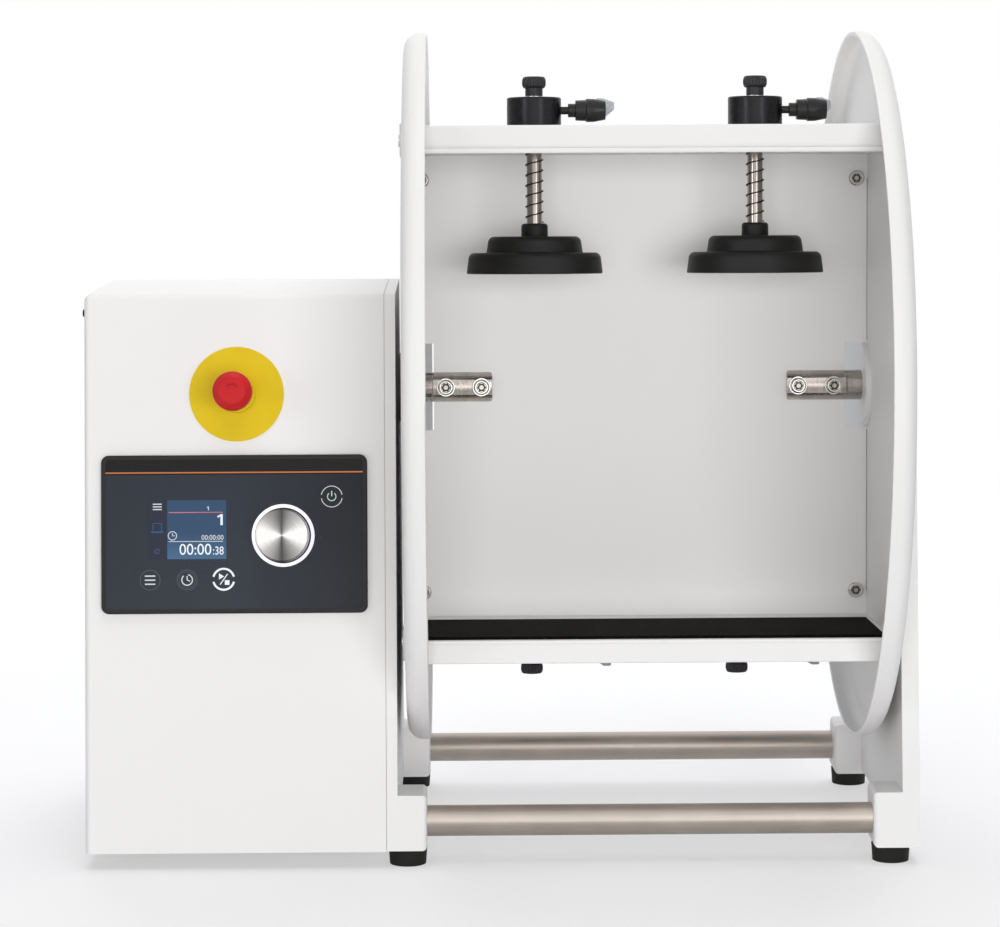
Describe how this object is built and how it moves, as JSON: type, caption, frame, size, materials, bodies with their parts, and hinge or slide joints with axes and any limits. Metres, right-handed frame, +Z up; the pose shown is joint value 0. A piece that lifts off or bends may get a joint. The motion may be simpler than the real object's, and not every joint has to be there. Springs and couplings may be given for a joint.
{
  "type": "overhead bottle rotator",
  "caption": "Bench overhead shaker: a leaning control cabinet and two side frames turn a cradle of two dished discs, shelves, a centre panel and spring clamps for bottles.",
  "frame": {"origin": "on the bench, at the middle of the outer box", "axes": "+X along the turning axis away from the cabinet, +Y to the back, +Z up"},
  "size_m": [0.5368, 0.47, 0.532],
  "materials": {
    "white_paint": "satin white powder coat",
    "panel_paint": "satin off-white powder coat",
    "brushed_steel": "brushed stainless tube",
    "shaft_steel": "turned and milled stainless",
    "polished_steel": "polished ground rod",
    "spring_steel": "spring wire",
    "screw_steel": "stainless screws",
    "black_screw": "black oxide screws",
    "zinc_sheet": "zinc-plated sheet",
    "aluminium": "machined",
    "black_anodised": "black anodised, turned",
    "black_rubber": "matt rubber",
    "mat_rubber": "fine ribbed rubber mat",
    "pad_rubber": "matt moulded rubber",
    "knob_plastic": "matt moulded plastic",
    "lever_plastic": "semi-matt moulded plastic",
    "black_plastic": "matt moulded plastic",
    "panel_black": "gloss black bezel",
    "panel_glass": "dark blue printed window",
    "screen": "lit colour display",
    "light_ring": "lit translucent ring",
    "dial_steel": "spun metal face",
    "circuit_board": "circuit board",
    "label_yellow": "printed yellow disc, bare of words",
    "stem_grey": "moulded plastic",
    "stop_red": "moulded red plastic",
    "bush_grey": "turned flanged bush",
    "motor_paint": "black enamel"
  },
  "bodies": {
    "base": {"left_side_frame": "white_paint", "right_side_frame": "white_paint", "tie_tubes": "brushed_steel", "stand_screws": "black_screw", "rubber_feet": "black_rubber", "cabinet_shell": "white_paint", "cabinet_base_plate": "zinc_sheet", "control_panel_frame": "panel_black", "control_panel_glass": "panel_glass", "display_screen": "screen", "dial_light_ring": "light_ring", "control_board": "circuit_board", "stop_label": "label_yellow", "stop_housing": "black_plastic", "mains_inlet": "black_plastic", "bearing_bushes": "bush_grey", "drive_belt": "black_rubber", "motor_bracket": "zinc_sheet", "gear_motor": "motor_paint", "power_supply": "zinc_sheet"},
    "cradle": {"left_disc": "white_paint", "right_disc": "white_paint", "drive_shaft": "shaft_steel", "idle_shaft": "shaft_steel", "driven_pulley": "aluminium", "cradle_screws": "screw_steel", "cradle_brackets": "white_paint", "centre_panel": "panel_paint", "upper_shelf": "white_paint", "lower_shelf": "white_paint", "rubber_mats": "mat_rubber", "shelf_fixing_plates": "white_paint", "clamp_blocks": "black_anodised", "clamp_1_spring": "spring_steel", "clamp_2_spring": "spring_steel", "clamp_3_spring": "spring_steel", "clamp_4_spring": "spring_steel"},
    "motor_rotor": {"motor_pulley": "aluminium"},
    "dial_carrier": {"dial_shaft": "screw_steel"},
    "dial": {"dial_knob": "dial_steel"},
    "stop_plunger": {"stop_stem": "stem_grey"},
    "stop_head": {"stop_button": "stop_red"},
    "rocker": {"mains_rocker": "black_plastic"},
    "clamp_1_plunger": {"clamp_1_rod": "polished_steel", "clamp_1_knob_and_collar": "knob_plastic", "clamp_1_pad": "pad_rubber"},
    "clamp_1_handle": {"clamp_1_lever": "lever_plastic"},
    "clamp_2_plunger": {"clamp_2_rod": "polished_steel", "clamp_2_knob_and_collar": "knob_plastic", "clamp_2_pad": "pad_rubber"},
    "clamp_2_handle": {"clamp_2_lever": "lever_plastic"},
    "clamp_3_plunger": {"clamp_3_rod": "polished_steel", "clamp_3_knob_and_collar": "knob_plastic", "clamp_3_pad": "pad_rubber"},
    "clamp_3_handle": {"clamp_3_lever": "lever_plastic"},
    "clamp_4_plunger": {"clamp_4_rod": "polished_steel", "clamp_4_knob_and_collar": "knob_plastic", "clamp_4_pad": "pad_rubber"},
    "clamp_4_handle": {"clamp_4_lever": "lever_plastic"}
  },
  "joints": [
    {"name": "cradle_turn", "type": "hinge", "parent": "base", "child": "cradle", "pos_m": [0.09475, 0, 0.297], "axis": [1, 0, 0], "continuous": true},
    {"name": "motor_turn", "type": "hinge", "parent": "base", "child": "motor_rotor", "pos_m": [-0.0969, 0, 0.187], "axis": [1, 0, 0], "continuous": true},
    {"name": "dial_push", "type": "slide", "parent": "base", "child": "dial_carrier", "axis": [0, 0.9894, -0.1453], "range_m": [0, 0.0006], "stiffness_N_per_m": 2500, "springref_m": -0.0008},
    {"name": "dial_turn", "type": "hinge", "parent": "dial_carrier", "child": "dial", "pos_m": [-0.13917, -0.10749, 0.21224], "axis": [0, 0.9894, -0.1453], "continuous": true},
    {"name": "stop_push", "type": "slide", "parent": "base", "child": "stop_plunger", "axis": [0, 0.9894, -0.1453], "range_m": [0, 0.0045], "stiffness_N_per_m": 1500, "springref_m": -0.003},
    {"name": "stop_twist", "type": "hinge", "parent": "stop_plunger", "child": "stop_head", "pos_m": [-0.16887, -0.1012, 0.30324], "axis": [0, 0.9894, -0.1453], "range_deg": [0, 45], "stiffness_Nm_per_rad": 0.08, "springref_deg": -5.73},
    {"name": "mains_rocker_tip", "type": "hinge", "parent": "base", "child": "rocker", "pos_m": [-0.20797, 0.12012, 0.07464], "axis": [1, 0, 0], "range_deg": [0, 14]},
    {"name": "clamp_1_lift", "type": "slide", "parent": "cradle", "child": "clamp_1_plunger", "axis": [0, 0.0523, 0.9986], "range_m": [0, 0.042], "stiffness_N_per_m": 250, "springref_m": -0.04, "deforming": ["clamp_1_spring"]},
    {"name": "clamp_1_lever_turn", "type": "hinge", "parent": "cradle", "child": "clamp_1_handle", "pos_m": [0.04095, -0.06243, 0.48142], "axis": [1, 0, 0], "range_deg": [0, 120]},
    {"name": "clamp_2_lift", "type": "slide", "parent": "cradle", "child": "clamp_2_plunger", "axis": [0, 0.0523, 0.9986], "range_m": [0, 0.042], "stiffness_N_per_m": 250, "springref_m": -0.04, "deforming": ["clamp_2_spring"]},
    {"name": "clamp_2_lever_turn", "type": "hinge", "parent": "cradle", "child": "clamp_2_handle", "pos_m": [0.18355, -0.06243, 0.48142], "axis": [1, 0, 0], "range_deg": [0, 120]},
    {"name": "clamp_3_lift", "type": "slide", "parent": "cradle", "child": "clamp_3_plunger", "axis": [0, -0.0523, -0.9986], "range_m": [0, 0.042], "stiffness_N_per_m": 250, "springref_m": -0.04, "deforming": ["clamp_3_spring"]},
    {"name": "clamp_3_lever_turn", "type": "hinge", "parent": "cradle", "child": "clamp_3_handle", "pos_m": [0.04095, 0.06243, 0.11258], "axis": [1, 0, 0], "range_deg": [0, 120]},
    {"name": "clamp_4_lift", "type": "slide", "parent": "cradle", "child": "clamp_4_plunger", "axis": [0, -0.0523, -0.9986], "range_m": [0, 0.042], "stiffness_N_per_m": 250, "springref_m": -0.04, "deforming": ["clamp_4_spring"]},
    {"name": "clamp_4_lever_turn", "type": "hinge", "parent": "cradle", "child": "clamp_4_handle", "pos_m": [0.18355, 0.06243, 0.11258], "axis": [1, 0, 0], "range_deg": [0, 120]}
  ],
  "couplings": [
    {"joint": "motor_turn", "follows": "cradle_turn", "ratio": 2.5}
  ]
}
